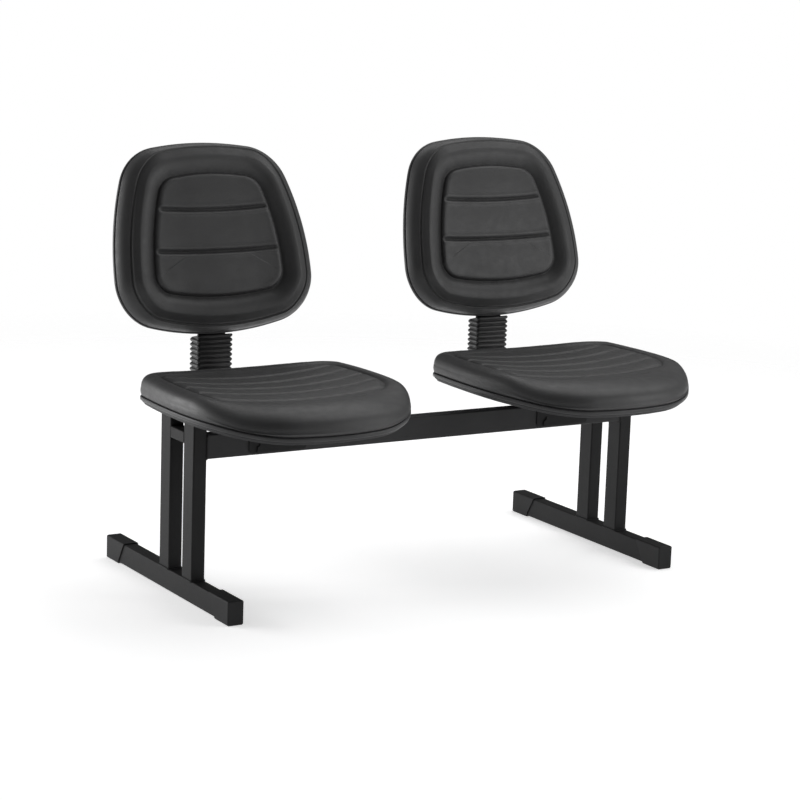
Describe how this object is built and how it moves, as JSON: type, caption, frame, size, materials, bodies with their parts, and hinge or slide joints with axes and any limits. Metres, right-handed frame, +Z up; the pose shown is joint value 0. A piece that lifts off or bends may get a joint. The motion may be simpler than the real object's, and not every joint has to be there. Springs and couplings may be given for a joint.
{
  "type": "two-seat beam seating",
  "caption": "Upholstered chairs with height-adjustable backs on a shared rectangular steel beam, carried by twin-post legs on long feet with slip-over end caps.",
  "frame": {"origin": "on the floor, at the centre of the object's bounding box", "axes": "+X along the beam (to the sitter's left), -Y the way the seats face, +Z up"},
  "size_m": [1.189, 0.663, 0.8911],
  "materials": {
    "frame_paint": "semi-matt black powder coat",
    "cap_plastic": "moulded, fine texture",
    "shell_plastic": "moulded, fine grain",
    "bead_pvc": "satin extruded profile",
    "vinyl": "satin coated fabric with fine leather grain",
    "bellows_rubber": "matt",
    "knob_plastic": "moulded",
    "plywood": "bare plywood",
    "zinc": "zinc plated",
    "black_screw": "black oxide"
  },
  "bodies": {
    "root": {"beam_tube": "frame_paint", "beam_insert_nuts": "zinc", "post_top_plugs": "cap_plastic", "post_front_left": "frame_paint", "post_rear_left": "frame_paint", "leg_tie_left": "frame_paint", "foot_tube_left": "frame_paint", "foot_cap_front_left": "cap_plastic", "foot_cap_rear_left": "cap_plastic", "post_front_right": "frame_paint", "post_rear_right": "frame_paint", "leg_tie_right": "frame_paint", "foot_tube_right": "frame_paint", "foot_cap_front_right": "cap_plastic", "foot_cap_rear_right": "cap_plastic", "seat_bracket_left": "frame_paint", "bracket_bolts_left": "zinc", "back_bar_left": "frame_paint", "bar_bolts_left": "zinc", "bar_weld_nuts_left": "zinc", "seat_board_left": "plywood", "seat_shell_left": "shell_plastic", "seat_cushion_left": "vinyl", "seat_tee_nuts_left": "zinc", "seat_bolts_left": "zinc", "seat_edge_bead_left": "bead_pvc", "bellows_left": "bellows_rubber", "seat_bracket_right": "frame_paint", "bracket_bolts_right": "zinc", "back_bar_right": "frame_paint", "bar_bolts_right": "zinc", "bar_weld_nuts_right": "zinc", "seat_board_right": "plywood", "seat_shell_right": "shell_plastic", "seat_cushion_right": "vinyl", "seat_tee_nuts_right": "zinc", "seat_bolts_right": "zinc", "seat_edge_bead_right": "bead_pvc", "bellows_right": "bellows_rubber"},
    "back_left": {"back_cushion_left": "vinyl", "back_board_left": "plywood", "back_edge_bead_left": "bead_pvc", "back_shell_left": "shell_plastic", "back_guide_left": "frame_paint", "guide_screws_left": "zinc", "back_tee_nuts_left": "zinc", "back_shell_screws_left": "black_screw"},
    "knob_left": {"knob_head_left": "knob_plastic", "knob_stud_left": "zinc"},
    "back_right": {"back_cushion_right": "vinyl", "back_board_right": "plywood", "back_edge_bead_right": "bead_pvc", "back_shell_right": "shell_plastic", "back_guide_right": "frame_paint", "guide_screws_right": "zinc", "back_tee_nuts_right": "zinc", "back_shell_screws_right": "black_screw"},
    "knob_right": {"knob_head_right": "knob_plastic", "knob_stud_right": "zinc"}
  },
  "joints": [
    {"name": "back_height_left", "type": "slide", "parent": "root", "child": "back_left", "axis": [0, 0.2588, 0.9659], "range_m": [-0.02, 0.05], "deforming": ["bellows_left"]},
    {"name": "clamp_knob_left", "type": "hinge", "parent": "back_left", "child": "knob_left", "pos_m": [-0.347, 0.28062, 0.62011], "axis": [0, 0.9659, -0.2588], "range_deg": [0, 270]},
    {"name": "back_height_right", "type": "slide", "parent": "root", "child": "back_right", "axis": [0, 0.2588, 0.9659], "range_m": [-0.02, 0.05], "deforming": ["bellows_right"]},
    {"name": "clamp_knob_right", "type": "hinge", "parent": "back_right", "child": "knob_right", "pos_m": [0.347, 0.28062, 0.62011], "axis": [0, 0.9659, -0.2588], "range_deg": [0, 270]}
  ]
}
